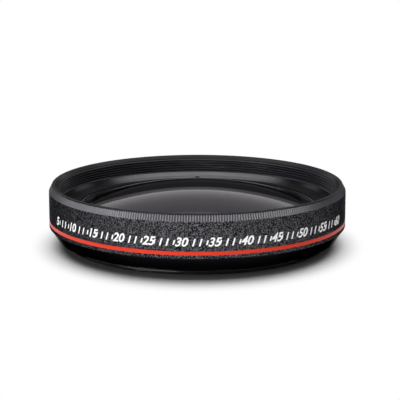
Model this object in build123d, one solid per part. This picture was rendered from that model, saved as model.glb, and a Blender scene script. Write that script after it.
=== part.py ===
from build123d import *
import math
import os

# Wide-angle conversion lens, millimetres, +Z is the optical axis towards the subject.
# The origin is on the axis, on the rear end face of the male thread.

# Running and seating clearances
thread_clearance = 0.05
glass_clearance = 0.04
hub_end_clearance = 0.1

# Rear mount, M77 x 0.75 male thread, modelled at its major diameter
mount_thread_radius = 38.5
mount_thread_length = 2.2
mount_thread_chamfer = 0.35
mount_thread_wall = 2.2
mount_shoulder_width = 2.8
skirt_height = 3.7
hub_wall = 4.7
hub_length = 1.7

# Front filter thread, M82 x 0.75, modelled at its major diameter
front_thread_step = 2.5
filter_thread_length = 3.8
filter_lead_chamfer = 0.8

# Front barrel, outside
barrel_wall = 3.0
band_edge_chamfer = 0.35
bevel_height = 1.7
bevel_run = 0.85
rim_round = 0.3
rim_face_width = 0.75
red_line_rise = 1.0
red_line_width = 1.2
red_line_depth = 0.3

# Knurl on the bevel
knurl_teeth = 340
knurl_depth = 0.3
knurl_backing = 0.1

# Cell for the front element
flange_thickness = 1.2
flange_width = 3.6
cell_depth = 4.9
cell_shoulder_margin = 0.3

# Front element, a negative meniscus
front_glass_edge = 1.5
front_surface_radius = 107.0
front_centre_thickness = 2.2
front_dish_land = 7.0

# Front retaining ring and its gasket
ring_thread_step = 0.5
ring_thread_width = 2.5
ring_overlap = 2.8
ring_nose_height = 0.5
ring_face_rise = 0.15
ring_bevel_run = 0.9
ring_drop = 0.45
gasket_thickness = 0.2
gasket_inset = 0.5
gasket_reach = 0.7
slot_width = 1.4
slot_length = 3.4
slot_depth = 0.6

# Spacer and rear element, a positive meniscus
spacer_thickness = 1.0
spacer_width = 1.7
spacer_groove_depth = 0.3
rear_glass_step = 0.8
rear_glass_edge = 2.4
air_gap = 3.1
rear_dish_radius = 220.0
rear_dish_land = 2.5

# Rear retaining ring
rear_ring_height = 1.7
rear_ring_width = 2.9
rear_ring_chamfer = 0.8
rear_slot_length = 2.0

# Radii that follow from the sizes above, from the rear thread outwards and inwards
filter_thread_radius = mount_thread_radius + front_thread_step
barrel_radius = filter_thread_radius + barrel_wall
rim_outer_radius = barrel_radius - bevel_run
mount_shoulder_radius = mount_thread_radius + mount_shoulder_width
skirt_top_radius = barrel_radius - band_edge_chamfer
ring_thread_radius = filter_thread_radius - ring_thread_step
front_glass_radius = ring_thread_radius - ring_thread_width
ring_opening_radius = front_glass_radius - ring_overlap
flange_radius = front_glass_radius - flange_width
rear_ring_radius = mount_thread_radius - mount_thread_wall
rear_ring_opening = rear_ring_radius - rear_ring_width
rear_glass_radius = rear_ring_radius - rear_glass_step
spacer_opening_radius = rear_glass_radius - spacer_width
hub_radius = rear_glass_radius + hub_wall

# Heights that follow, from the rear face up
band_bottom_z = mount_thread_length + skirt_height
flange_bottom_z = band_bottom_z + hub_length + hub_end_clearance
seat_z = flange_bottom_z + flange_thickness
cell_shoulder_z = seat_z + front_glass_edge + cell_shoulder_margin
thread_end_z = seat_z + cell_depth
ring_top_z = thread_end_z - ring_drop
thread_top_z = thread_end_z + filter_thread_length
rim_z = thread_top_z + filter_lead_chamfer
bevel_top_z = rim_z - rim_round
band_top_z = bevel_top_z - bevel_height
spacer_bottom_z = flange_bottom_z - spacer_thickness
rear_seat_z = spacer_bottom_z - rear_glass_edge

# Centre and crests of the ground surfaces
front_centre_z = seat_z + front_glass_edge - math.sqrt(front_surface_radius**2 - front_glass_radius**2)
front_crest_z = front_centre_z + front_surface_radius
front_dish_crest_z = front_crest_z - front_centre_thickness
rear_crest_z = front_dish_crest_z - air_gap


def turned(points):
    """A closed outline of (radius, height) points turned once round the axis."""
    outline = make_face(Polyline(*[(r, 0, z) for r, z in points], close=True))
    return revolve(outline, Axis.Z)


def on_axis(radius, low_z, high_z):
    return Pos(0, 0, low_z) * Cylinder(
        radius, high_z - low_z, align=(Align.CENTER, Align.CENTER, Align.MIN)
    )


def ball(radius, centre_z):
    return Pos(0, 0, centre_z) * Sphere(radius)


def cap(aperture, foot_z, crest_z):
    """The ball whose surface passes through a circle at one height and a crest above it."""
    rise = crest_z - foot_z
    radius = (aperture**2 + rise**2) / (2 * rise)
    return ball(radius, crest_z - radius)


def sag(surface_radius, aperture):
    return surface_radius - math.sqrt(surface_radius**2 - aperture**2)


def slots(opening_radius, length, low_z, high_z):
    """Two spanner slots on the Y axis, cut outwards from a ring's opening."""
    size = Align.CENTER, Align.CENTER, Align.MIN
    cutter = Box(slot_width, length * 2, high_z - low_z, align=size)
    return [Pos(0, side * opening_radius, low_z) * cutter for side in (1, -1)]


def star(tip_radius, z):
    """Outline of the knurl at one height, a tip and a root for each tooth."""
    half_pitch = math.pi / knurl_teeth
    radii = [tip_radius, tip_radius - knurl_depth] * knurl_teeth
    corners = [(r * math.cos(i * half_pitch), r * math.sin(i * half_pitch)) for i, r in enumerate(radii)]
    return Pos(0, 0, z) * make_face(Polyline(*corners, close=True))


def knurl():
    """Straight teeth that run up the bevel, as a ring with its root inside the barrel."""
    teeth = loft([star(barrel_radius, band_top_z), star(rim_outer_radius, bevel_top_z)])
    root_radius = rim_outer_radius - knurl_depth - knurl_backing * 2
    return teeth - on_axis(root_radius, band_top_z, bevel_top_z)


def front_barrel():
    inside_rim = rim_outer_radius - rim_round - rim_face_width
    red_bottom = band_bottom_z + red_line_rise
    red_top = red_bottom + red_line_width
    groove_radius = barrel_radius - red_line_depth
    root_inset = knurl_depth + knurl_backing
    body = turned([
        (hub_radius + thread_clearance, band_bottom_z),
        (barrel_radius - band_edge_chamfer, band_bottom_z),
        (barrel_radius, band_bottom_z + band_edge_chamfer),
        (barrel_radius, red_bottom),
        (groove_radius, red_bottom),
        (groove_radius, red_top),
        (barrel_radius, red_top),
        (barrel_radius, band_top_z),
        (barrel_radius - root_inset, band_top_z),
        (rim_outer_radius - root_inset, bevel_top_z),
        (rim_outer_radius, bevel_top_z),
        (rim_outer_radius - rim_round, rim_z),
        (inside_rim, rim_z),
        (filter_thread_radius, thread_top_z),
        (filter_thread_radius, thread_end_z),
        (ring_thread_radius + thread_clearance, ring_top_z),
        (ring_thread_radius + thread_clearance, cell_shoulder_z),
        (front_glass_radius + glass_clearance, cell_shoulder_z),
        (front_glass_radius + glass_clearance, seat_z),
        (flange_radius, seat_z),
        (flange_radius, flange_bottom_z),
        (hub_radius + thread_clearance, flange_bottom_z),
    ])
    return body + knurl()


def red_line():
    low = band_bottom_z + red_line_rise
    high = low + red_line_width
    inner = barrel_radius - red_line_depth
    return turned([(inner, low), (barrel_radius, low), (barrel_radius, high), (inner, high)])


def front_element():
    """A convex ball cut to the glass diameter, with a steeper dish ground out behind."""
    blank = on_axis(front_glass_radius, seat_z, front_crest_z) & ball(front_surface_radius, front_centre_z)
    return blank - cap(front_glass_radius - front_dish_land, seat_z, front_dish_crest_z)


def front_gasket():
    """A thin washer that lies on the front surface and shows inside the retaining ring."""
    inner = ring_opening_radius - gasket_reach
    outer = front_glass_radius - gasket_inset
    washer = on_axis(outer, seat_z, front_crest_z) - on_axis(inner, seat_z, front_crest_z)
    over = ball(front_surface_radius + gasket_thickness, front_centre_z)
    return (washer & over) - ball(front_surface_radius, front_centre_z)


def ring_nose_z():
    """Height of the front ring's inner edge, over the gasket."""
    over = front_surface_radius + gasket_thickness
    return front_centre_z + math.sqrt(over**2 - ring_opening_radius**2) + ring_nose_height


def front_retaining_ring():
    """A nearly flat face that turns up in a steep bevel to meet the chamfer of the bore."""
    foot_z = cell_shoulder_z + thread_clearance
    body = turned([
        (ring_opening_radius, seat_z),
        (front_glass_radius - glass_clearance, seat_z),
        (front_glass_radius - glass_clearance, foot_z),
        (ring_thread_radius, foot_z),
        (ring_thread_radius, ring_top_z),
        (ring_thread_radius - ring_bevel_run, ring_nose_z() + ring_face_rise),
        (ring_opening_radius, ring_nose_z()),
    ])
    body = body - ball(front_surface_radius + gasket_thickness, front_centre_z)
    return body - slots(ring_opening_radius, slot_length, ring_nose_z() - slot_depth, thread_end_z)


def element_spacer():
    mid = flange_bottom_z - spacer_thickness / 2
    quarter = spacer_thickness / 4
    outer = rear_glass_radius - glass_clearance
    return turned([
        (outer, spacer_bottom_z),
        (outer, flange_bottom_z),
        (spacer_opening_radius, flange_bottom_z),
        (spacer_opening_radius, mid + quarter),
        (spacer_opening_radius + spacer_groove_depth, mid),
        (spacer_opening_radius, mid - quarter),
        (spacer_opening_radius, spacer_bottom_z),
    ])


def rear_element():
    """A flat land at the edge, a bulge in front and a shallow dish behind."""
    edge = on_axis(rear_glass_radius, rear_seat_z, spacer_bottom_z)
    bulge = on_axis(rear_glass_radius, rear_seat_z, rear_crest_z) & cap(
        spacer_opening_radius, spacer_bottom_z, rear_crest_z
    )
    dish_crest_z = rear_seat_z + sag(rear_dish_radius, rear_glass_radius - rear_dish_land)
    return edge + bulge - ball(rear_dish_radius, dish_crest_z - rear_dish_radius)


def rear_retaining_ring():
    low = rear_seat_z - rear_ring_height
    body = turned([
        (rear_ring_opening + rear_ring_chamfer, low),
        (rear_ring_radius, low),
        (rear_ring_radius, rear_seat_z),
        (rear_ring_opening, rear_seat_z),
        (rear_ring_opening, low + rear_ring_chamfer),
    ])
    return body - slots(rear_ring_opening, rear_slot_length, low, low + slot_depth)


def rear_mount():
    bore = rear_ring_radius + thread_clearance
    return turned([
        (bore, 0),
        (mount_thread_radius - mount_thread_chamfer, 0),
        (mount_thread_radius, mount_thread_chamfer),
        (mount_thread_radius, mount_thread_length),
        (mount_shoulder_radius, mount_thread_length),
        (skirt_top_radius, band_bottom_z),
        (hub_radius, band_bottom_z),
        (hub_radius, band_bottom_z + hub_length),
        (rear_glass_radius + glass_clearance, band_bottom_z + hub_length),
        (rear_glass_radius + glass_clearance, rear_seat_z),
        (bore, rear_seat_z),
    ])


nodes = {
    "front_barrel": front_barrel,
    "red_line": red_line,
    "front_element": front_element,
    "front_gasket": front_gasket,
    "front_retaining_ring": front_retaining_ring,
    "element_spacer": element_spacer,
    "rear_element": rear_element,
    "rear_retaining_ring": rear_retaining_ring,
    "rear_mount": rear_mount,
}

os.makedirs("parts", exist_ok=True)
for name, make in nodes.items():
    shape = make()
    export_step(shape, f"parts/{name}.step")
    print(name, round(shape.volume, 2), shape.bounding_box())
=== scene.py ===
import bmesh
import bpy
import math
import numpy as np
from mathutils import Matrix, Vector


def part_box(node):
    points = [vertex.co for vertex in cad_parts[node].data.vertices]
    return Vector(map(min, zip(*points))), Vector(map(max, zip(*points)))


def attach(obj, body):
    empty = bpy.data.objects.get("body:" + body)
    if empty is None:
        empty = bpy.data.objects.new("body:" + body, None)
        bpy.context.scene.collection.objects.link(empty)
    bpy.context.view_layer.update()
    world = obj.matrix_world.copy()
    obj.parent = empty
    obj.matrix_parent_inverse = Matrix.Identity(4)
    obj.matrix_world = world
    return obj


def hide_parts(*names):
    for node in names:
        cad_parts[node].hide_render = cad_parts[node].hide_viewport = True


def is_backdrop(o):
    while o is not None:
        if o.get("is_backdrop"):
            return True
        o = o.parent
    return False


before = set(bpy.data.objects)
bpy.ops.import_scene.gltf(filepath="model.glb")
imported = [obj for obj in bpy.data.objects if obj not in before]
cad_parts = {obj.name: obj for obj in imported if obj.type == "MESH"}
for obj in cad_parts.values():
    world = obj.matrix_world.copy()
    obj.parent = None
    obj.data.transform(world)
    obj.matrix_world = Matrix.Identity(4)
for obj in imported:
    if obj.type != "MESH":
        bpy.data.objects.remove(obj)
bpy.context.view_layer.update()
mm = 0.001
barrelLow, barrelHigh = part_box("front_barrel")
mountLow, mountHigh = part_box("rear_mount")
frontGlassLow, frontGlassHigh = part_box("front_element")
rearGlassLow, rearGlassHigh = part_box("rear_element")
frontRingLow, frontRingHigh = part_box("front_retaining_ring")
rearRingLow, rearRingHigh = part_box("rear_retaining_ring")
redLow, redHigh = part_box("red_line")
spacerLow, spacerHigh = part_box("element_spacer")
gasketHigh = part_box("front_gasket")[1]
skin = 0.03 * mm  # the dressed walls lie this far inside the solids, and the print lies on them
bandRadius = (barrelHigh.x - skin) / mm
print("frame loaded")


# points round a ring and round a glass, and points on a rounded corner; a rounding takes at most this share
# of a side, and a guard point stands beside it, this far in mm and this share of the side at most
lathe = {"ringColumns": 512, "glassColumns": 384, "arcPoints": 5, "sideShare": 0.45, "guard": 0.04}
turnedSharp, toothSharp = 32, 60  # degrees from which an edge is shaded sharp
finishes = {}  # every material by its name


def roundedProfile(corners):
    # corners are (radius, height, rounding) in mm; each becomes a short parabolic arc
    # (1-s)^2*before + 2s(1-s)*corner + s^2*after, with guard points beside it so that flats stay flat
    share, guard = lathe["sideShare"], lathe["guard"]
    spots = np.array([c[:2] for c in corners], float) * mm
    rounding = np.array([c[2] for c in corners], float) * mm
    steps = np.linspace(0, 1, lathe["arcPoints"])[:, None]
    rows = []
    for i, spot in enumerate(spots):
        if rounding[i] == 0:
            rows.append(spot[None])
            continue
        ways = spots[i - 1] - spot, spots[(i + 1) % len(spots)] - spot
        sides = [np.linalg.norm(way) for way in ways]
        ends = [spot + v / s * min(rounding[i], share * s) for v, s in zip(ways, sides)]
        guards = [e + v / s * min(guard * mm, guard * s) for e, v, s in zip(ends, ways, sides)]
        arc = (1 - steps) ** 2 * ends[0] + 2 * steps * (1 - steps) * spot + steps ** 2 * ends[1]
        rows += [guards[0][None], arc, guards[1][None]]
    return np.concatenate(rows)


def addObject(name, data):
    thing = bpy.data.objects.new(name, data)
    bpy.context.collection.objects.link(thing)
    return thing


def meshObject(name, points, faces, sharpAngle=turnedSharp):
    mesh = bpy.data.meshes.new(name)
    mesh.from_pydata(points.reshape(-1, 3).tolist(), [], faces)
    mesh.shade_smooth()
    mesh.set_sharp_from_angle(angle=math.radians(sharpAngle))
    return addObject(name, mesh)


def ringSurface(name, points, sharpAngle=turnedSharp):
    # points[row, column] wraps both ways: rows go round the section, columns round the axis
    rows, columns = points.shape[:2]
    index = np.arange(rows * columns).reshape(rows, columns)
    right, up = np.roll(index, -1, 1), np.roll(index, -1, 0)
    quads = np.stack([index, right, np.roll(up, -1, 1), up], -1).reshape(-1, 4)
    return meshObject(name, points, quads.tolist(), sharpAngle)


def roundAngles(columns):
    return np.arange(columns) * 2 * np.pi / columns


def turnedPoints(radius, height, angle):
    # a point at radius r, height z and angle a lies at (r cos a, r sin a, z)
    return np.stack(np.broadcast_arrays(radius * np.cos(angle), radius * np.sin(angle), height), -1)


def turnedRing(name, corners):
    # the rounded outline carried once round the axis
    profile = roundedProfile(corners)
    angle = roundAngles(lathe["ringColumns"])[None]
    return ringSurface(name, turnedPoints(profile[:, :1], profile[:, 1:], angle))


def turnedSolid(name, profile):
    # the profile runs from the axis on top, round the edge, to the axis below, and the poles are closed
    columns = lathe["glassColumns"]
    rows = len(profile) - 2
    body = turnedPoints(profile[1:-1, :1], profile[1:-1, 1:], roundAngles(columns)[None]).reshape(-1, 3)
    poles = np.array([[0, 0, profile[0, 1]], [0, 0, profile[-1, 1]]])
    index = np.arange(rows * columns).reshape(rows, columns)
    right = np.roll(index, -1, 1)
    quads = np.stack([index[:-1], index[1:], right[1:], right[:-1]], -1).reshape(-1, 4)
    top, bottom = np.full(columns, rows * columns), np.full(columns, rows * columns + 1)
    topFan = np.stack([top, index[0], right[0]], -1)
    bottomFan = np.stack([bottom, right[-1], index[-1]], -1)
    faces = quads.tolist() + topFan.tolist() + bottomFan.tolist()
    return meshObject(name, np.concatenate([body, poles]), faces)


def settle(piece, finish, slotName, *nodes):
    piece.data.materials.append(finishes[finish])
    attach(piece, "root")
    if nodes:
        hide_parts(*nodes)
    return piece


def newGroup(name, inputs, outputs):
    group = bpy.data.node_groups.new(name, "ShaderNodeTree")
    for label, kind, value in inputs:
        socket = group.interface.new_socket(label, in_out="INPUT", socket_type=kind)
        if value is not None:
            socket.default_value = value
    for label, kind in outputs:
        group.interface.new_socket(label, in_out="OUTPUT", socket_type=kind)
    return group, group.nodes.new("NodeGroupInput"), group.nodes.new("NodeGroupOutput")


def addNode(tree, kind, **settings):
    node = tree.nodes.new(kind)
    for key, value in settings.items():
        if key in node.inputs:
            node.inputs[key].default_value = value
        else:
            setattr(node, key, value)
    return node


def mathNode(tree, operation, first, second=None):
    node = tree.nodes.new("ShaderNodeMath")
    node.operation = operation
    for socket, value in zip(node.inputs, (first, second)):
        if value is None:
            continue
        if isinstance(value, (int, float)):
            socket.default_value = value
        else:
            tree.links.new(value, socket)
    return node.outputs[0]


# wrinkled paint: the warp of its coordinates, the finer noise as a share of the grains, and its pale speckle
crinkleShape = {
    "warpScale": 900.0, "warpShift": 0.0006, "smoothness": 0.4, "fineScale": 1.7, "fineShare": 0.6,
    "speckleScale": 1.3, "speckleLow": 0.47, "speckleHigh": 0.57,
}


def makeCrinkleGroup():
    # distance to the nearest grain centre on warped coordinates, with finer noise on top
    c = crinkleShape
    group, start, end = newGroup(
        "crinkleGrain",
        [("Vector", "NodeSocketVector", None), ("Scale", "NodeSocketFloat", 2400.0)],
        [("Height", "NodeSocketFloat"), ("Speckle", "NodeSocketFloat")],
    )
    warp = addNode(group, "ShaderNodeTexNoise", Scale=c["warpScale"], Detail=2.0)
    group.links.new(start.outputs["Vector"], warp.inputs["Vector"])
    shift = addNode(group, "ShaderNodeVectorMath", operation="SCALE", Scale=c["warpShift"])
    group.links.new(warp.outputs["Color"], shift.inputs[0])
    place = addNode(group, "ShaderNodeVectorMath", operation="ADD")
    group.links.new(start.outputs["Vector"], place.inputs[0])
    group.links.new(shift.outputs[0], place.inputs[1])
    grains = addNode(group, "ShaderNodeTexVoronoi", feature="SMOOTH_F1", Smoothness=c["smoothness"])
    group.links.new(place.outputs[0], grains.inputs["Vector"])
    group.links.new(start.outputs["Scale"], grains.inputs["Scale"])
    fine = addNode(group, "ShaderNodeTexNoise", Detail=3.0, Roughness=0.6)
    group.links.new(place.outputs[0], fine.inputs["Vector"])
    fineScale = mathNode(group, "MULTIPLY", start.outputs["Scale"], c["fineScale"])
    group.links.new(fineScale, fine.inputs["Scale"])
    mound = mathNode(group, "SUBTRACT", 1.0, grains.outputs["Distance"])
    wrinkle = mathNode(group, "MULTIPLY", fine.outputs["Fac"], c["fineShare"])
    height = mathNode(group, "ADD", mound, wrinkle)
    group.links.new(height, end.inputs["Height"])
    spot = addNode(group, "ShaderNodeTexNoise", Detail=1.0)
    group.links.new(start.outputs["Vector"], spot.inputs["Vector"])
    spotScale = mathNode(group, "MULTIPLY", start.outputs["Scale"], c["speckleScale"])
    group.links.new(spotScale, spot.inputs["Scale"])
    speckle = addNode(group, "ShaderNodeMapRange")
    speckle.inputs["From Min"].default_value = c["speckleLow"]
    speckle.inputs["From Max"].default_value = c["speckleHigh"]
    group.links.new(spot.outputs["Fac"], speckle.inputs["Value"])
    group.links.new(speckle.outputs["Result"], end.inputs["Speckle"])
    return group


speckShape = {"scale": 22.0, "threshold": 0.66}  # fineness of the specks and how much noise makes one


def makeWearGroup():
    # soft patches of handling: broad noise with fine specks, as a mask from 0 to 1
    group, start, end = newGroup(
        "handlingMask",
        [("Vector", "NodeSocketVector", None), ("Scale", "NodeSocketFloat", 60.0),
         ("Specks", "NodeSocketFloat", 0.3)],
        [("Mask", "NodeSocketFloat")],
    )
    broad = addNode(group, "ShaderNodeTexNoise", Detail=3.0)
    specks = addNode(group, "ShaderNodeTexNoise", Detail=2.0)
    group.links.new(start.outputs["Vector"], broad.inputs["Vector"])
    group.links.new(start.outputs["Vector"], specks.inputs["Vector"])
    group.links.new(start.outputs["Scale"], broad.inputs["Scale"])
    speckScale = mathNode(group, "MULTIPLY", start.outputs["Scale"], speckShape["scale"])
    group.links.new(speckScale, specks.inputs["Scale"])
    found = mathNode(group, "GREATER_THAN", specks.outputs["Fac"], speckShape["threshold"])
    dots = mathNode(group, "MULTIPLY", found, start.outputs["Specks"])
    total = mathNode(group, "ADD", broad.outputs["Fac"], dots)
    group.links.new(mathNode(group, "MINIMUM", total, 1.0), end.inputs["Mask"])
    return group


def makeTurningGroup():
    # lathe lines: a wave over distance from the axis plus height, so that it follows every turned face
    group, start, end = newGroup(
        "turningLines",
        [("Vector", "NodeSocketVector", None), ("Pitch", "NodeSocketFloat", 0.00012)],
        [("Height", "NodeSocketFloat")],
    )
    parts = addNode(group, "ShaderNodeSeparateXYZ")
    group.links.new(start.outputs["Vector"], parts.inputs[0])
    squares = [mathNode(group, "MULTIPLY", parts.outputs[k], parts.outputs[k]) for k in ("X", "Y")]
    radius = mathNode(group, "SQRT", mathNode(group, "ADD", *squares))
    travel = mathNode(group, "ADD", radius, parts.outputs["Z"])
    turns = mathNode(group, "DIVIDE", travel, start.outputs["Pitch"])
    combined = addNode(group, "ShaderNodeCombineXYZ")
    group.links.new(turns, combined.inputs["X"])
    lines = addNode(group, "ShaderNodeTexNoise", Scale=1.0, Detail=2.0)
    group.links.new(combined.outputs[0], lines.inputs["Vector"])
    group.links.new(lines.outputs["Fac"], end.inputs["Height"])
    return group


crinkleGroup = makeCrinkleGroup()
wearGroup = makeWearGroup()
turningGroup = makeTurningGroup()
print("node groups made")


def startMaterial(name, **sockets):
    material = bpy.data.materials.new(name)
    material.use_nodes = True
    tree = material.node_tree
    shader = tree.nodes["Principled BSDF"]
    for key, value in sockets.items():
        shader.inputs[key].default_value = value
    place = tree.nodes.new("ShaderNodeTexCoord")
    return material, tree, shader, place.outputs["Object"]


def useGroup(tree, group, place, **values):
    node = tree.nodes.new("ShaderNodeGroup")
    node.node_tree = group
    tree.links.new(place, node.inputs["Vector"])
    for key, value in values.items():
        node.inputs[key].default_value = value
    return node


def spread(tree, mask, low, high):
    # low where the mask is 0, high where it is 1
    ranged = addNode(tree, "ShaderNodeMapRange")
    ranged.inputs["To Min"].default_value = low
    ranged.inputs["To Max"].default_value = high
    tree.links.new(mask, ranged.inputs["Value"])
    return ranged.outputs["Result"]


def blendColours(tree, mask, first, second):
    mixed = tree.nodes.new("ShaderNodeMix")
    mixed.data_type = "RGBA"
    mixed.inputs["A"].default_value = (*first, 1)
    mixed.inputs["B"].default_value = (*second, 1)
    tree.links.new(mask, mixed.inputs["Factor"])
    return mixed.outputs["Result"]


def bumpFrom(tree, height, strength, distance):
    bump = addNode(tree, "ShaderNodeBump", Strength=strength, Distance=distance)
    tree.links.new(height, bump.inputs["Height"])
    return bump.outputs["Normal"]


def connect(tree, shader, sources):
    for label, source in sources.items():
        tree.links.new(source, shader.inputs[label])


darkEdges = {"Metallic": 1.0, "Specular Tint": (0.0, 0.0, 0.0, 1)}  # a sheen that fades at grazing angles
violetSheen = {"Specular Tint": (0.97, 0.95, 1.0, 1)}
# gloss smeared across the lathe lines
turnedSheen = {"Anisotropic": 1.0, "Anisotropic Rotation": 0.25, "IOR": 1.9, **violetSheen}
crinklePaint = {
    "dark": (0.012, 0.012, 0.013), "light": (0.135, 0.132, 0.144), "grainScale": 2300.0,
    "bump": 0.85, "bumpDepth": 0.00022, "roughLow": 0.34, "roughHigh": 0.6,
}


def makeCrinkleBlack():
    p = crinklePaint
    material, tree, shader, place = startMaterial("crinkleBlack", **darkEdges)
    grain = useGroup(tree, crinkleGroup, place, Scale=p["grainScale"])
    height = grain.outputs["Height"]
    connect(tree, shader, {
        "Base Color": blendColours(tree, grain.outputs["Speckle"], p["dark"], p["light"]),
        "Roughness": spread(tree, height, p["roughHigh"], p["roughLow"]),
        "Normal": bumpFrom(tree, height, p["bump"], p["bumpDepth"]),
    })
    return material


# what the smooth blacks share: the handling mask, its change of roughness, and the depth of lathe lines
blackWear = {"scale": 90.0, "specks": 0.25, "smoother": 0.06, "rougher": 0.08, "lineDepth": 0.00003}
# each smooth black: its colour when clean and when worn, its roughness, the pitch in metres and the strength
# of its lathe lines, and the shader's own sockets
smoothBlacks = {
    "rimBlack": {
        "clean": (0.005, 0.005, 0.006), "worn": (0.01, 0.01, 0.011),
        "rough": 0.24, "pitch": 0.0002, "lines": 0.2, "sockets": {"IOR": 1.18},
    },
    "knurlBlack": {
        "clean": (0.02, 0.0195, 0.023), "worn": (0.05, 0.049, 0.056),
        "rough": 0.3, "pitch": 0.0002, "lines": 0.2, "sockets": {"IOR": 1.8, **violetSheen},
    },
    "threadBlack": {
        "clean": (0.007, 0.0065, 0.009), "worn": (0.012, 0.011, 0.014),
        "rough": 0.3, "pitch": 0.0002, "lines": 0.2, "sockets": {"Specular IOR Level": 0.15},
    },
    "ringBlack": {
        "clean": (0.006, 0.006, 0.007), "worn": (0.01, 0.01, 0.011),
        "rough": 0.33, "pitch": 0.00016, "lines": 0.1, "sockets": turnedSheen,
    },
    # the ring's lip: near black with almost no gloss, painted shade in the crease against the glass
    "lipShadeBlack": {
        "clean": (0.004, 0.004, 0.004), "worn": (0.007, 0.007, 0.007),
        "rough": 0.5, "pitch": 0.0003, "lines": 0.2, "sockets": {"Specular IOR Level": 0.08},
    },
    "glossBlack": {
        "clean": (0.026, 0.025, 0.029), "worn": (0.034, 0.033, 0.038),
        "rough": 0.2, "pitch": 0.00016, "lines": 0.08, "sockets": darkEdges,
    },
    "footBlack": {
        "clean": (0.006, 0.006, 0.0065), "worn": (0.012, 0.012, 0.013),
        "rough": 0.2, "pitch": 0.0002, "lines": 0.1, "sockets": {"IOR": 1.9},
    },
    "matteBlack": {
        "clean": (0.008, 0.008, 0.008), "worn": (0.014, 0.014, 0.014),
        "rough": 0.6, "pitch": 0.00025, "lines": 0.3, "sockets": {},
    },
}


def makeSmoothBlack(name, black):
    material, tree, shader, place = startMaterial(name, **black["sockets"])
    wear = useGroup(tree, wearGroup, place, Scale=blackWear["scale"], Specks=blackWear["specks"])
    turned = useGroup(tree, turningGroup, place, Pitch=black["pitch"])
    mask = wear.outputs["Mask"]
    smoothest, roughest = black["rough"] - blackWear["smoother"], black["rough"] + blackWear["rougher"]
    connect(tree, shader, {
        "Base Color": blendColours(tree, mask, black["clean"], black["worn"]),
        "Roughness": spread(tree, mask, smoothest, roughest),
        "Normal": bumpFrom(tree, turned.outputs["Height"], black["lines"], blackWear["lineDepth"]),
    })
    return material


# paint, print and rubber: colour and roughness where the handling mask is 0 and 1, the mask's scale
# and specks, the shader's own sockets, and for paint the strength and depth in metres of its relief
paints = {
    "redPaint": {
        "colours": ((0.64, 0.03, 0.014), (0.76, 0.05, 0.02)), "rough": (0.32, 0.46),
        "scale": 140.0, "specks": 0.3, "sockets": {"Specular IOR Level": 0.25}, "relief": (0.25, 0.00005),
    },
    "whitePrint": {
        "colours": ((0.96, 0.96, 0.95), (0.88, 0.88, 0.88)), "rough": (0.45, 0.6),
        "scale": 400.0, "specks": 0.3, "sockets": {},
    },
    "gasketRubber": {
        "colours": ((0.008, 0.008, 0.008), (0.022, 0.022, 0.022)), "rough": (0.55, 0.75),
        "scale": 300.0, "specks": 0.4, "sockets": {},
    },
}


def makePaint(name, paint):
    material, tree, shader, place = startMaterial(name, **paint["sockets"])
    mask = useGroup(tree, wearGroup, place, Scale=paint["scale"], Specks=paint["specks"]).outputs["Mask"]
    connect(tree, shader, {
        "Base Color": blendColours(tree, mask, *paint["colours"]),
        "Roughness": spread(tree, mask, *paint["rough"]),
    })
    if "relief" in paint:
        connect(tree, shader, {"Normal": bumpFrom(tree, mask, *paint["relief"])})
    return material


# each glass: a faint coating colour made dark, painted shade of the barrel's dark inside seen through it, and
# the colour of its reflections
glasses = {
    "frontCoated": {"tintAndShade": (0.2, 0.175, 0.21), "sheen": (1.0, 0.82, 1.0)},
    "rearCoated": {"tintAndShade": (0.3, 0.31, 0.3), "sheen": (0.9, 1.0, 0.92)},
}
# both glasses: refraction, and smudges that make them a touch paler and rougher
glassWear = {"ior": 1.52, "scale": 45.0, "specks": 0.12, "paler": 1.03, "rough": (0.0, 0.03)}


def makeGlass(name, glass):
    w = glassWear
    sockets = {"Transmission Weight": 1.0, "IOR": w["ior"], "Specular Tint": (*glass["sheen"], 1)}
    material, tree, shader, place = startMaterial(name, **sockets)
    mask = useGroup(tree, wearGroup, place, Scale=w["scale"], Specks=w["specks"]).outputs["Mask"]
    # the base colour is the dark tint, painted shade, made a touch paler where smudged
    paler = tuple(min(1.0, c * w["paler"]) for c in glass["tintAndShade"])
    connect(tree, shader, {
        "Base Color": blendColours(tree, mask, glass["tintAndShade"], paler),
        "Roughness": spread(tree, mask, *w["rough"]),
    })
    return material


finishes["crinkleBlack"] = makeCrinkleBlack()
for makeOne, kinds in ((makeSmoothBlack, smoothBlacks), (makePaint, paints), (makeGlass, glasses)):
    for kindName, kind in kinds.items():
        finishes[kindName] = makeOne(kindName, kind)
print("materials made")


# the barrel's radii and heights in mm; backs and tucks are hidden behind the next piece
barrel = {
    "bore": 40.25, "edge": 0.15, "groove": 0.32, "redInset": 0.06, "bandTop": 16.4, "bandBack": 0.8,
    "rimOuter": 43.13, "rimFace": 0.75, "rimRound": 0.3, "rimEdge": 0.25, "rimDrop": 0.22, "rimBack": 0.7,
    "rimWall": 0.6, "rimTuck": 0.1, "beadBottom": 18.08, "leadInner": 41.05, "threadTop": 17.6,
    "threadBottom": 13.8, "behindThread": 41.5, "threadRoot": 41.02, "ringBore": 40.55, "shoulder": 10.7,
    "glassBore": 38.04, "seat": 8.9, "flange": 34.4, "flangeBottom": 7.7, "cellBack": 0.1, "tuck": 0.05,
}


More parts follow.
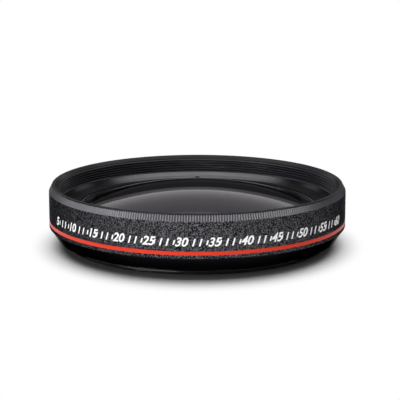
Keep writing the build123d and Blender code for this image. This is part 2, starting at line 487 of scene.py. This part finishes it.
def makeBarrelBody():
    # the band's outline with the groove of the red line, closed behind the rim and the cell
    b = barrel
    low, edge, grooveWall = barrelLow.z / mm, b["edge"], bandRadius - b["groove"]
    redBottom, redTop = redLow.z / mm + b["redInset"], redHigh.z / mm - b["redInset"]
    under, over = b["flangeBottom"] + b["tuck"], b["threadTop"] - b["tuck"]
    corners = [
        (b["bore"], low, 0.1), (bandRadius - edge, low, 0.1), (bandRadius, low + edge, 0.15),
        (bandRadius, redBottom, 0.08), (grooveWall, redBottom, 0), (grooveWall, redTop, 0),
        (bandRadius, redTop, 0.08), (bandRadius, b["bandTop"], 0.1),
        (bandRadius - b["bandBack"], b["bandTop"], 0),
        (b["rimOuter"] - b["rimBack"], over, 0), (b["behindThread"], over, 0),
        (b["behindThread"], under, 0), (b["bore"], under, 0),
    ]
    settle(turnedRing("barrelBody", corners), "crinkleBlack", "textured_black", "front_barrel")


def makeBarrelCell():
    # the smooth seat of the ring and the front glass, below the filter thread
    b = barrel
    back, ringTop = b["behindThread"] + b["cellBack"], frontRingHigh.z / mm
    corners = [
        (b["flange"], b["flangeBottom"], 0.15), (back, b["flangeBottom"], 0),
        (back, b["threadBottom"], 0), (b["threadRoot"], b["threadBottom"], 0.03),
        (b["ringBore"], ringTop, 0.03), (b["ringBore"], b["shoulder"], 0.05),
        (b["glassBore"], b["shoulder"], 0.05), (b["glassBore"], b["seat"], 0.05),
        (b["flange"], b["seat"], 0.15),
    ]
    settle(turnedRing("barrelCell", corners), "threadBlack", "textured_black", "front_barrel")


def makeFrontRim():
    # the bead above the knurl, the flat rim and the slope that leads into the thread
    b = barrel
    top, foot, wall = barrelHigh.z / mm, b["threadTop"] - b["rimTuck"], b["rimOuter"] - b["rimWall"]
    rimInner = b["rimOuter"] - b["rimRound"] - b["rimFace"]
    corners = [
        (b["behindThread"], foot, 0), (wall, foot, 0), (wall, b["beadBottom"], 0),
        (b["rimOuter"], b["beadBottom"], 0.06), (b["rimOuter"], top - b["rimDrop"], 0.12),
        (b["rimOuter"] - b["rimEdge"], top, 0.12), (rimInner, top, 0.12),
        (b["leadInner"], b["threadTop"], 0.1),
    ]
    settle(turnedRing("frontRim", corners), "rimBlack", "textured_black", "front_barrel")


knurl = {
    "teeth": 360, "columnsPerTooth": 6, "depth": 0.26, "roundness": 1.3, "core": 42.2, "rows": 8,
    "lift": 0.01, "lap": 0.04, "inset": 0.01,
}


def makeKnurl():
    # radius = bevel cone - depth * (0 at a tip, 1 at a root), a rounded triangle wave round the axis
    k, b = knurl, barrel
    columns = k["teeth"] * k["columnsPerTooth"]
    wave = np.abs((np.arange(columns) / k["columnsPerTooth"]) % 1 - 0.5) * 2
    along = np.linspace(0, 1, k["rows"])[:, None]
    lowZ, highZ = b["bandTop"] + k["lift"], b["beadBottom"] + k["lap"]
    cone = bandRadius - along * (bandRadius - b["rimOuter"] + k["inset"])
    outer = cone - k["depth"] * (wave ** k["roundness"])[None]
    height = lowZ + along * (highZ - lowZ)
    core = np.full((1, columns), k["core"])
    radius = np.concatenate([core, outer, core])
    heights = np.concatenate([height[:1], height, height[-1:]])
    points = turnedPoints(radius, heights, roundAngles(columns)[None]) * mm
    settle(ringSurface("knurledBevel", points, toothSharp), "knurlBlack", "textured_black", "front_barrel")


threadFlank, threadFlat = 2.6, 0.3  # steepness of a thread's flanks, and how flat its root and crest are
innerThread = {
    "pitch": 0.75, "depth": 0.36, "rowsPerTurn": 12, "columns": 720, "back": 41.7, "fade": 0.25,
    "inset": 0.05, "lift": 0.02,
}


def threadGrid(thread, lowZ, highZ):
    rows = int((highZ - lowZ) / thread["pitch"] * thread["rowsPerTurn"]) + 1
    return np.linspace(lowZ, highZ, rows)[:, None], roundAngles(thread["columns"])[None]


def threadWave(height, angle, pitch):
    # one thread: distance along the axis less one pitch per turn, folded into a flattened triangle
    phase = (height / pitch - angle / (2 * np.pi)) % 1
    return np.clip((0.5 - np.abs(phase - 0.5)) * threadFlank - threadFlat, 0, 1)


def makeInnerThread():
    # radius = root radius - depth * thread wave, faded at both ends, with a plain wall behind
    t, b = innerThread, barrel
    root = b["leadInner"] - t["inset"]
    lowZ, highZ = b["threadBottom"] + t["lift"], b["threadTop"] + t["lift"]
    height, angle = threadGrid(t, lowZ, highZ)
    ends = np.clip(np.minimum(height - lowZ, highZ - height) / t["fade"], 0, 1)
    radius = root - t["depth"] * threadWave(height, angle, t["pitch"]) * ends
    back = np.full((1, t["columns"]), t["back"])
    radius = np.concatenate([back, back, radius[::-1]])
    heights = np.concatenate([height[:1], height[-1:], height[::-1]])
    points = turnedPoints(radius, heights, angle) * mm
    settle(ringSurface("filterThread", points, toothSharp), "threadBlack", "textured_black", "front_barrel")


redInlay = {"sunk": 0.06, "depth": 0.3, "edge": 0.03}


def makeRedLine():
    # a flat band of paint, a little below the wall and narrower than the groove
    r = redInlay
    outer = bandRadius - r["sunk"]
    inner = outer - r["depth"]
    low, high = redLow.z / mm + barrel["redInset"], redHigh.z / mm - barrel["redInset"]
    corners = [(inner, low, 0), (outer, low, r["edge"]), (outer, high, r["edge"]), (inner, high, 0)]
    settle(turnedRing("redLine", corners), "redPaint", "red_paint", "red_line")


makeBarrelBody()
makeBarrelCell()
makeFrontRim()
makeKnurl()
makeInnerThread()
makeRedLine()
print("barrel dressed")


def arcHeights(radii, crest, curvature):
    # a ball of the given radius: height = crest - (R - sqrt(R^2 - r^2))
    return crest - (curvature - np.sqrt(curvature ** 2 - radii ** 2))


def ballThrough(aperture, foot, crest):
    # radius of the ball through a circle at the foot and a crest above it: (a^2 + rise^2) / (2 rise)
    rise = crest - foot
    return (aperture ** 2 + rise ** 2) / (2 * rise)


def lensProfile(topRadii, topHeights, edge, lowRadii, lowHeights):
    top = np.stack([topRadii, topHeights], -1)
    low = np.stack([lowRadii, lowHeights], -1)[::-1]
    return np.concatenate([top, edge, low]) * mm


frontLens = {"curvature": 107.0, "centreThickness": 2.2, "dishLand": 7.0, "chamfer": 0.12, "rows": 64}
rearLens = {"edge": 2.4, "bulgeLand": 1.7, "dish": 220.0, "dishLand": 2.5, "chamfer": 0.1, "rows": 64}


def makeFrontGlass():
    # a ball of the curvature above, and a steeper ball ground out below
    g = frontLens
    radius, crest, seat = frontGlassHigh.x / mm, frontGlassHigh.z / mm, frontGlassLow.z / mm
    reach = radius - g["chamfer"]
    topRadii = np.linspace(0, reach, g["rows"])
    topHeights = arcHeights(topRadii, crest, g["curvature"])
    dishRadius = radius - g["dishLand"]
    dishCrest = crest - g["centreThickness"]
    lowRadii = np.linspace(0, dishRadius, g["rows"])
    lowHeights = arcHeights(lowRadii, dishCrest, ballThrough(dishRadius, seat, dishCrest))
    edge = np.array([[radius, topHeights[-1] - g["chamfer"]], [radius, seat + g["chamfer"]], [reach, seat]])
    profile = lensProfile(topRadii, topHeights, edge, lowRadii, lowHeights)
    settle(turnedSolid("frontGlass", profile), "frontCoated", "coated_glass", "front_element")


def makeRearGlass():
    # a bulge inside a flat land above, and a shallow dish below
    g = rearLens
    radius, crest, low = rearGlassHigh.x / mm, rearGlassHigh.z / mm, rearGlassLow.z / mm
    land, reach = radius - g["bulgeLand"], radius - g["chamfer"]
    shoulder = low + g["edge"]
    topRadii = np.linspace(0, land, g["rows"])
    topHeights = arcHeights(topRadii, crest, ballThrough(land, shoulder, crest))
    dishRadius = radius - g["dishLand"]
    lowRadii = np.linspace(0, dishRadius, g["rows"])
    dishCrest = low + g["dish"] - math.sqrt(g["dish"] ** 2 - dishRadius ** 2)
    lowHeights = arcHeights(lowRadii, dishCrest, g["dish"])
    edge = np.array([
        [reach, shoulder], [radius, shoulder - g["chamfer"]], [radius, low + g["chamfer"]], [reach, low]])
    profile = lensProfile(topRadii, topHeights, edge, lowRadii, lowHeights)
    settle(turnedSolid("rearGlass", profile), "rearCoated", "rear_glass", "rear_element")


gasket = {"inner": 34.5, "thickness": 0.19, "lift": 0.005, "rows": 8}


def makeGasket():
    # a washer whose two faces follow the ball of the front glass
    g = gasket
    radii = np.linspace(g["inner"], gasketHigh.x / mm, g["rows"])
    under = arcHeights(radii, frontGlassHigh.z / mm, frontLens["curvature"]) + g["lift"]
    over = under + g["thickness"]
    section = np.concatenate([np.stack([radii, under], -1), np.stack([radii, over], -1)[::-1]])
    points = turnedPoints(section[:, :1], section[:, 1:], roundAngles(lathe["ringColumns"])[None]) * mm
    settle(ringSurface("glassGasket", points), "gasketRubber", "gasket", "front_gasket")


spacer = {"opening": 33.8, "groove": 0.3, "edge": 0.05}


def makeSpacer():
    # a square section with a stray-light groove at half height inside
    inner, outer, edge = spacer["opening"], spacerHigh.x / mm, spacer["edge"]
    low, high = spacerLow.z / mm, spacerHigh.z / mm
    middle, quarter = (low + high) / 2, (high - low) / 4
    corners = [
        (inner, low, edge), (outer, low, edge), (outer, high, edge), (inner, high, edge),
        (inner, middle + quarter, 0), (inner + spacer["groove"], middle, 0), (inner, middle - quarter, 0),
    ]
    settle(turnedRing("glassSpacer", corners), "matteBlack", "matt_black", "element_spacer")


makeFrontGlass()
makeRearGlass()
makeGasket()
makeSpacer()
print("glasses placed")


# the front ring in mm: steps are the columns of points that keep its bend and its outer edge crisp; within
# the lip's radius the face gives way to the lip, a dull black that is painted shade
frontRing = {
    "opening": 35.2, "shadedLipStart": 36.5, "nose": 12.13, "faceRise": 0.15, "bevelRun": 0.9, "foot": 37.9,
    "gap": 0.02, "glassGap": 0.21, "footLift": 0.25, "wallDrop": 0.05, "faceRows": 16,
    "edgeSteps": (-0.04, -0.08), "bendSteps": (0.08, 0.03, -0.04),
    "slotSteps": (0.3, 0.02), "faceSteps": (-0.02, 0.06),
    "slotWidth": 1.35, "slotLength": 3.4, "slotDepth": 0.6,
}
# its inner lip, a dull darker black that paints the shade where the ring meets the glass: how far it goes
# under the face, and its fall below the face from there to the opening
ringLip = {"under": 0.3, "steps": (0.5, 0.05), "falls": (0.3, 0.01, 0.06, 0.14, 0.2), "least": 0.02}
rearRing = {
    "opening": 33.4, "chamfer": 0.8, "faceStart": 0.1, "faceRows": 20, "edge": 0.05,
    "slotWidth": 2.2, "slotLength": 2.0, "slotDepth": 0.6,
}
# a slot's wall is a close pair of columns, this share of its half angle apart and clear of the even ones by
# this share of their half pitch; what counts as inside it is a touch wider
slotWalls = {"pair": 0.02, "clear": 0.3, "slack": 1.01}


def slotAngles(ring):
    # even columns, with two close pairs at each slot's sides on the Y axis so that its walls stand upright
    half = math.asin(ring["slotWidth"] / 2 / ring["opening"])
    gaps = (0, slotWalls["pair"])
    turns = [end * half * (1 + gap) for end in (-1, 1) for gap in gaps]
    edges = [side * math.pi / 2 + turn for side in (1, 3) for turn in turns]
    columns = lathe["ringColumns"]
    even = roundAngles(columns)
    apart = np.min(np.abs(even[:, None] - np.array(edges)[None]), 1)
    return np.sort(np.concatenate([even[apart > slotWalls["clear"] * np.pi / columns], edges]))[None]


def inSlots(ring, radii, angle):
    across = np.abs(radii * np.cos(angle)) < ring["slotWidth"] / 2 * slotWalls["slack"]
    return across & (radii < ring["opening"] + ring["slotLength"])


def ringTopHeights(radii):
    # straight from the nose over the face to the bend, and up the bevel to the outer edge
    f = frontRing
    outer = frontRingHigh.x / mm - f["gap"]
    bend, face = outer - f["bevelRun"], f["nose"] + f["faceRise"]
    return np.interp(radii, [f["opening"], bend, outer], [f["nose"], face, frontRingHigh.z / mm])


def cutSlots(radii, heights, angle, onTop):
    # inside the two slots the top is lowered to the slot floor
    f = frontRing
    inSlot = inSlots(f, radii, angle) & onTop
    return np.where(inSlot, np.minimum(heights, f["nose"] - f["slotDepth"]), heights)


def makeFrontRing():
    # the top of ringTopHeights with the slots cut in, over an underside that follows the front glass
    f = frontRing
    outer, top = frontRingHigh.x / mm - f["gap"], frontRingHigh.z / mm
    low = frontRingLow.z / mm + f["footLift"]
    bend, slotEnd, shadedLipStart, foot = outer - f["bevelRun"], f["opening"] + f["slotLength"], f["shadedLipStart"], f["foot"]
    angle = slotAngles(f)
    bevelRadii = [*(outer + s for s in f["edgeSteps"]), *(bend + s for s in f["bendSteps"])]
    faceRadii = np.linspace(slotEnd + f["faceSteps"][0], shadedLipStart + f["faceSteps"][1], f["faceRows"])
    topRadii = np.array([*bevelRadii, *(slotEnd + s for s in f["slotSteps"]), *faceRadii, shadedLipStart])
    radii = np.concatenate([topRadii, [shadedLipStart, foot, foot, outer, outer]])[:, None]
    glassTop = arcHeights(np.array([shadedLipStart, foot]), frontGlassHigh.z / mm, frontLens["curvature"])
    underside = [*(glassTop + f["glassGap"]), low, low, top - f["wallDrop"]]
    heights = np.concatenate([ringTopHeights(topRadii), underside])[:, None]
    radii, heights = radii * np.ones_like(angle), heights * np.ones_like(angle)
    heights = cutSlots(radii, heights, angle, np.arange(len(radii))[:, None] < len(topRadii))
    points = turnedPoints(radii, heights, angle) * mm
    settle(ringSurface("frontRing", points), "ringBlack", "gloss_black", "front_retaining_ring")


def makeFrontRingLip():
    # the inner edge of the ring, a dull darker black painted as the shade against the glass: a small fall
    # from the face to the opening
    f, lip = frontRing, ringLip
    angle = slotAngles(f)
    opening, under = f["opening"], f["shadedLipStart"] + lip["under"]
    topRadii = np.array([under, f["shadedLipStart"], *(opening + s for s in lip["steps"]), opening])
    topHeights = ringTopHeights(topRadii) - np.array(lip["falls"])
    lowRadii = np.array([opening, under])
    lowHeights = arcHeights(lowRadii, frontGlassHigh.z / mm, frontLens["curvature"]) + f["glassGap"]
    radii = np.concatenate([topRadii, lowRadii])[:, None] * np.ones_like(angle)
    heights = np.concatenate([topHeights, lowHeights])[:, None] * np.ones_like(angle)
    onTop = np.arange(len(radii))[:, None] < len(topRadii)
    least = np.where(onTop, lowHeights[0] + lip["least"], heights)
    heights = np.maximum(cutSlots(radii, heights, angle, onTop), least)
    points = turnedPoints(radii, heights, angle) * mm
    settle(ringSurface("frontRingLip", points), "lipShadeBlack", "gloss_black", "front_retaining_ring")


def makeRearRing():
    # a flat face below with a chamfer round the opening, and slots that rise into it
    f = rearRing
    outer, low, top = rearRingHigh.x / mm, rearRingLow.z / mm, rearRingHigh.z / mm
    angle = slotAngles(f)
    chamferEnd = f["opening"] + f["chamfer"]
    flatRadii = np.linspace(chamferEnd + f["faceStart"], outer - f["edge"], f["faceRows"])
    faceRadii = np.array([f["opening"], chamferEnd, *flatRadii])
    faceHeights = np.array([low + f["chamfer"], *np.full(f["faceRows"] + 1, low)])
    radii = np.concatenate([faceRadii, [outer, outer, f["opening"]]])[:, None] * np.ones_like(angle)
    heights = np.concatenate([faceHeights, [low + f["edge"], top, top]])[:, None] * np.ones_like(angle)
    face = np.arange(len(radii))[:, None] < len(faceRadii)
    raised = np.maximum(heights, low + f["slotDepth"])
    heights = np.where(inSlots(f, radii, angle) & face, raised, heights)
    points = turnedPoints(radii, heights, angle) * mm
    settle(ringSurface("rearRing", points), "matteBlack", "matt_black", "rear_retaining_ring")


makeFrontRing()
makeFrontRingLip()
makeRearRing()
print("rings placed")


mount = {
    "bore": 36.35, "threadTop": 2.2, "shoulder": 41.3, "hub": 40.2, "hubTop": 7.6, "glassBore": 35.54,
    "glassSeat": 4.3, "behindThread": 37.9, "endLip": 0.15, "endDepth": 0.3, "skirtEdge": 0.12,
}
outerThread = {
    "pitch": 0.75, "crest": 38.48, "lift": 0.35, "depth": 0.34, "rowsPerTurn": 12, "columns": 720,
    "back": 37.6, "fade": 0.3, "endChamfer": 0.35, "tuck": 0.02,
}


def makeMountBody():
    # the sloping skirt, the hub that goes into the barrel, and the wall behind the thread
    m = mount
    foot, skirt, joint = mountLow.z / mm, mountHigh.x / mm - skin / mm, barrelLow.z / mm
    corners = [
        (m["bore"], foot, 0.1), (m["behindThread"] + m["endLip"], foot, 0.1),
        (m["behindThread"], foot + m["endDepth"], 0), (m["behindThread"], m["threadTop"], 0),
        (m["shoulder"], m["threadTop"], 0.12), (skirt, joint - m["skirtEdge"], 0.1),
        (skirt - m["skirtEdge"], joint, 0.05), (m["hub"], joint, 0), (m["hub"], m["hubTop"], 0.1),
        (m["glassBore"], m["hubTop"], 0.1), (m["glassBore"], m["glassSeat"], 0),
        (m["bore"], m["glassSeat"], 0),
    ]
    settle(turnedRing("mountBody", corners), "glossBlack", "gloss_black", "rear_mount")


def makeOuterThread():
    # radius = root radius + depth * thread wave, faded towards the chamfered end and the shoulder
    t = outerThread
    lowZ, highZ = t["tuck"], mount["threadTop"] + t["tuck"]
    height, angle = threadGrid(t, lowZ, highZ)
    ends = np.clip((highZ - height) / t["fade"], 0, 1) * np.clip((height - lowZ) / t["endChamfer"], 0, 1)
    wave = threadWave(height - t["lift"], angle, t["pitch"])
    radius = t["crest"] - t["depth"] + t["depth"] * wave * ends
    radius = np.minimum(radius, t["crest"] - t["endChamfer"] + (height - lowZ))
    back = np.full((1, t["columns"]), t["back"])
    radius = np.concatenate([back, radius, back])
    heights = np.concatenate([height[:1], height, height[-1:]])
    points = turnedPoints(radius, heights, angle) * mm
    settle(ringSurface("mountThread", points, toothSharp), "footBlack", "gloss_black", "rear_mount")


makeMountBody()
makeOuterThread()
print("mount placed")


# the printed scale: sizes in mm, places in degrees from the middle of the photograph's side
scale = {
    "middleHeight": 10.6, "digitHeight": 2.5, "capShare": 0.72, "slant": 0.3, "weight": 0.085,
    "firstAngle": -66.0, "lastAngle": 66.0, "numberStep": 12.0, "countBy": 5, "ticksBetween": 4,
    "tickWidth": 0.46, "tickHeight": 1.3, "tallTick": 2.1, "tallOnes": (1, 2),
    "thickness": 0.016, "lift": 0.008, "smoothness": 4, "sameSpot": 1e-6,
}


def wrapOnBarrel(flat, degrees):
    # flat (along, up, out) in mm becomes angle = along / radius, height = up, radius = barrel + out
    angle = math.radians(degrees - 90) + flat[:, 0] / bandRadius
    radius, height = bandRadius + flat[:, 2] + scale["lift"], flat[:, 1] + scale["middleHeight"]
    return turnedPoints(radius, height, angle) * mm


def makeDigits():
    # each number is a font outline made a mesh, cleaned, and bent onto the barrel
    s = scale
    count = int((s["lastAngle"] - s["firstAngle"]) / s["numberStep"]) + 1
    for i in range(count):
        curve = bpy.data.curves.new("digits", "FONT")
        curve.body = str(s["countBy"] * (i + 1))
        curve.align_x, curve.align_y = "CENTER", "CENTER"
        curve.size, curve.shear, curve.offset = s["digitHeight"] / s["capShare"], s["slant"], s["weight"]
        curve.extrude, curve.resolution_u = s["thickness"] / 2, s["smoothness"]
        holder = addObject("digits", curve)
        mesh = bpy.data.meshes.new_from_object(holder.evaluated_get(bpy.context.evaluated_depsgraph_get()))
        joined = bmesh.new()
        joined.from_mesh(mesh)
        bmesh.ops.remove_doubles(joined, verts=joined.verts, dist=s["sameSpot"])
        bmesh.ops.recalc_face_normals(joined, faces=joined.faces)
        joined.to_mesh(mesh)
        joined.free()
        flat = np.empty(len(mesh.vertices) * 3)
        mesh.vertices.foreach_get("co", flat)
        placed = wrapOnBarrel(flat.reshape(-1, 3), s["firstAngle"] + i * s["numberStep"])
        mesh.vertices.foreach_set("co", placed.ravel())
        bpy.data.objects.remove(holder)
        mesh.shade_flat()
        mesh.materials.clear()
        settle(addObject(f"scaleNumber{i + 1:02d}", mesh), "whitePrint", "textured_black")


def makeTicks():
    # each tick is a thin slanted box bent onto the barrel, four between each pair of numbers
    s = scale
    step = s["numberStep"] / (s["ticksBetween"] + 1)
    gaps = int((s["lastAngle"] - s["firstAngle"]) / s["numberStep"])
    corner = np.array([(x, y, z) for x in (-1, 1) for y in (-1, 1) for z in (-1, 1)], float) / 2
    sides = [(0, 1, 3, 2), (4, 6, 7, 5), (0, 4, 5, 1), (2, 3, 7, 6), (0, 2, 6, 4), (1, 5, 7, 3)]
    points, faces = [], []
    for number in range(gaps * s["ticksBetween"]):
        gap, tick = divmod(number, s["ticksBetween"])
        tall = s["tallTick"] if tick in s["tallOnes"] else s["tickHeight"]
        flat = corner * np.array([s["tickWidth"], tall, s["thickness"]])
        flat[:, 0] += flat[:, 1] * s["slant"]
        points.append(wrapOnBarrel(flat, s["firstAngle"] + gap * s["numberStep"] + (tick + 1) * step))
        faces += [tuple(c + len(corner) * number for c in side) for side in sides]
    settle(meshObject("scaleTicks", np.concatenate(points), faces), "whitePrint", "textured_black")


makeDigits()
makeTicks()
print("scale printed")


# the studio in metres: the floor turns plain white between its near and far radius
studio = {
    "floorSize": 6.0, "floorDrop": 0.00002, "nearRadius": 0.045, "farRadius": 0.058, "sideStretch": 1.15,
    "floorPale": 0.5, "floorSeen": 0.95, "worldPale": 0.1,
    "tentRadius": 2.6, "tentFoot": 0.0, "tentHeight": 2.4, "tentStep": 6, "tentPale": 0.01, "tentRough": 0.9,
}
# the backdrop behind the lens: brightness at heights up the card, in metres
backdrop = {
    "away": 0.9, "halfWidth": 2.0, "top": 1.3,
    "steps": (
        (0.0, 0.035), (0.235, 0.035), (0.255, 0.2), (0.3, 0.2),
        (0.318, 0.85), (0.4, 0.6), (0.5, 0.42), (1.3, 0.34),
    ),
}
# flat lamps overhead: middle, width, depth, brightness, what each lights, and its shape
overheadHeight = 1.0
overheadLamps = {
    "overheadSoftbox": (0.0, 0.12, 1.76, 1.25, 2.3, "litBody", "RECTANGLE"),
    "ringSoftbox": (0.0, 0.02, 1.52, 1.5, 3.8, "litRing", "ELLIPSE"),
    "floorSoftbox": (0.0, 0.36, 1.5, 0.95, 2.7, "litFloor", "RECTANGLE"),
}
# each softbox, one metre away: azimuth from the camera side and elevation of its middle, width and height
# in degrees, brightness, and what it lights
softboxes = {
    "frontStrip": (-26, 47, 72, 20, 9.4, "litBody"),
    "lowFrontSoftbox": (-20, 14, 50, 14, 1.6, "litBody"),
    "footSoftbox": (-42, 13, 46, 12, 8.0, "litFoot"),
    "leftSideSoftbox": (-140, 9, 24, 12, 0.5, "litBody"),
    "ringLeftSoftbox": (-128, 25, 22, 18, 0.6, "litRing"),
    "ringRightSoftbox": (128, 25, 22, 18, 0.6, "litRing"),
}
# the pieces with lamps of their own; the rest are lit as the body
pieceLamps = {"frontRing": "litRing", "frontRingLip": "litRing", "mountThread": "litFoot"}


def grey(level):
    return level, level, level


def emptyTree(owner):
    owner.use_nodes = True
    owner.node_tree.nodes.clear()
    return owner.node_tree


def showSurface(tree, surface, kind="ShaderNodeOutputMaterial"):
    tree.links.new(surface, tree.nodes.new(kind).inputs["Surface"])


def rayMask(tree, *outputs):
    # 1 for the named kinds of ray, 0 for the rest
    path = tree.nodes.new("ShaderNodeLightPath")
    total = path.outputs[outputs[0]]
    for name in outputs[1:]:
        total = mathNode(tree, "MAXIMUM", total, path.outputs[name])
    return total


def makeFloor():
    # a pale floor that takes the shadow, and past the far radius is plain white to the eye and in reflections
    s = studio
    half, low = s["floorSize"] / 2, -s["floorDrop"]
    corners = [(-half, -half, low), (half, -half, low), (half, half, low), (-half, half, low)]
    mesh = bpy.data.meshes.new("studioFloor")
    mesh.from_pydata(corners, [], [(0, 1, 2, 3)])
    floor = addObject("studioFloor", mesh)
    material = bpy.data.materials.new("studioFloor")
    tree = emptyTree(material)
    place = tree.nodes.new("ShaderNodeTexCoord").outputs["Object"]
    stretched = addNode(tree, "ShaderNodeVectorMath", operation="MULTIPLY")
    stretched.inputs[1].default_value = (s["sideStretch"], 1, 1)
    tree.links.new(place, stretched.inputs[0])
    away = addNode(tree, "ShaderNodeVectorMath", operation="LENGTH")
    tree.links.new(stretched.outputs[0], away.inputs[0])
    far = addNode(tree, "ShaderNodeMapRange", interpolation_type="SMOOTHSTEP")
    far.inputs["From Min"].default_value = s["nearRadius"]
    far.inputs["From Max"].default_value = s["farRadius"]
    tree.links.new(away.outputs["Value"], far.inputs["Value"])
    seen = rayMask(tree, "Is Camera Ray", "Is Glossy Ray", "Is Transmission Ray")
    lit = tree.nodes.new("ShaderNodeBsdfDiffuse")
    tree.links.new(blendColours(tree, seen, grey(s["floorPale"]), grey(s["floorSeen"])), lit.inputs["Color"])
    white = addNode(tree, "ShaderNodeEmission", Strength=1.0)
    mixed = tree.nodes.new("ShaderNodeMixShader")
    tree.links.new(mathNode(tree, "MULTIPLY", far.outputs["Result"], seen), mixed.inputs["Fac"])
    tree.links.new(lit.outputs[0], mixed.inputs[1])
    tree.links.new(white.outputs[0], mixed.inputs[2])
    showSurface(tree, mixed.outputs[0])
    mesh.materials.append(material)
    floor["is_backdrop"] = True


def makeWorld():
    # dim light on the lens, plain white to the eye and in reflections
    world = bpy.data.worlds.new("studioWorld")
    bpy.context.scene.world = world
    tree = emptyTree(world)
    seen = rayMask(tree, "Is Camera Ray", "Is Glossy Ray", "Is Transmission Ray")
    light = tree.nodes.new("ShaderNodeBackground")
    tree.links.new(blendColours(tree, seen, grey(studio["worldPale"]), grey(1.0)), light.inputs["Color"])
    showSurface(tree, light.outputs[0], "ShaderNodeOutputWorld")


def areaLight(name, place, target, width, height, brightness, shape="RECTANGLE"):
    # watts = brightness * pi * area, so that brightness 1 looks as bright as white paper
    lamp = bpy.data.lights.new(name, "AREA")
    lamp.shape = shape
    area = width * height * (math.pi / 4 if shape == "ELLIPSE" else 1)
    lamp.size, lamp.size_y, lamp.energy = width, height, brightness * math.pi * area
    light = addObject(name, lamp)
    light.location = place
    light.rotation_euler = (Vector(target) - Vector(place)).to_track_quat("-Z", "Y").to_euler()
    return light


def makeTent():
    # a dark tent round the studio, which only reflections see
    s = studio
    angle = np.radians(np.arange(0, 360, s["tentStep"]))
    count = len(angle)
    foot = turnedPoints(s["tentRadius"], s["tentFoot"], angle)
    head = turnedPoints(s["tentRadius"], s["tentHeight"], angle)
    walls = [(k, (k + 1) % count, count + (k + 1) % count, count + k) for k in range(count)]
    tent = meshObject("darkTent", np.concatenate([foot, head]), walls + [tuple(range(count, 2 * count))])
    sockets = {"Base Color": (*grey(s["tentPale"]), 1), "Roughness": s["tentRough"]}
    tent.data.materials.append(startMaterial("darkTent", **sockets)[0])
    tent.visible_camera = False
    tent.visible_shadow = False
    tent.visible_diffuse = False
    tent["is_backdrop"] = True


def makeBackdrop():
    # a glowing card behind the lens, darker at the foot, which only its reflections and light show
    d = backdrop
    half, away, top = d["halfWidth"], d["away"], d["top"]
    corners = np.array([(-half, away, 0), (half, away, 0), (half, away, top), (-half, away, top)])
    card = meshObject("backdropCard", corners, [(0, 1, 2, 3)])
    material = bpy.data.materials.new("backdropCard")
    tree = emptyTree(material)
    parts = tree.nodes.new("ShaderNodeSeparateXYZ")
    tree.links.new(tree.nodes.new("ShaderNodeTexCoord").outputs["Object"], parts.inputs[0])
    ramp = tree.nodes.new("ShaderNodeValToRGB")
    while len(ramp.color_ramp.elements) < len(d["steps"]):
        ramp.color_ramp.elements.new(0.5)
    for spot, (height, level) in zip(ramp.color_ramp.elements, d["steps"]):
        spot.position, spot.color = height / top, (*grey(level), 1)
    tree.links.new(mathNode(tree, "DIVIDE", parts.outputs["Z"], top), ramp.inputs["Fac"])
    glow = addNode(tree, "ShaderNodeEmission", Strength=1.0)
    tree.links.new(ramp.outputs["Color"], glow.inputs["Color"])
    showSurface(tree, glow.outputs[0])
    card.data.materials.append(material)
    card.visible_camera = False
    card.visible_shadow = False
    card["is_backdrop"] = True
    return card


def makeLights():
    # each lamp lights one collection: the floor, the ring, the foot or the body
    groups = {name: bpy.data.collections.new(name) for name in ("litFloor", "litRing", "litFoot", "litBody")}
    for thing in [o for o in bpy.data.objects if o.type == "MESH"]:
        group = "litFloor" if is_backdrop(thing) else pieceLamps.get(thing.name, "litBody")
        groups[group].objects.link(thing)
    for name, (x, y, width, depth, brightness, group, shape) in overheadLamps.items():
        light = areaLight(name, (x, y, overheadHeight), (x, y, 0), width, depth, brightness, shape)
        light.light_linking.receiver_collection = groups[group]
    for name, (azimuth, elevation, wide, tall, brightness, group) in softboxes.items():
        turn, rise = math.radians(azimuth - 90), math.radians(elevation)
        place = Vector((math.cos(turn) * math.cos(rise), math.sin(turn) * math.cos(rise), math.sin(rise)))
        width, height = (2 * math.tan(math.radians(size / 2)) for size in (wide, tall))
        light = areaLight(name, place, (0, 0, 0), width, height, brightness)
        light.light_linking.receiver_collection = groups[group]
    makeBackdrop().light_linking.receiver_collection = groups["litBody"]
    makeTent()


# distance and aim in mm, elevation in degrees, lens and sensor in mm, near and far in metres
camera = {
    "distance": 528.0, "elevation": 13.74, "aimHeight": 12.93, "aimSide": 0.8,
    "lens": 158.8, "sensor": 36.0, "near": 0.01, "far": 20.0,
}


def makeCamera():
    c = camera
    data = bpy.data.cameras.new("photoCamera")
    data.sensor_width, data.lens = c["sensor"], c["lens"]
    data.clip_start, data.clip_end = c["near"], c["far"]
    holder = addObject("photoCamera", data)
    rise = math.radians(c["elevation"])
    place = Vector((0, -math.cos(rise), math.sin(rise))) * c["distance"] * mm
    target = Vector((c["aimSide"], 0, c["aimHeight"])) * mm
    holder.location = place
    holder.rotation_euler = (target - place).to_track_quat("-Z", "Y").to_euler()
    bpy.context.scene.camera = holder


makeFloor()
makeWorld()
makeLights()
makeCamera()
bpy.context.scene.view_settings.view_transform = "Standard"
print("studio set")
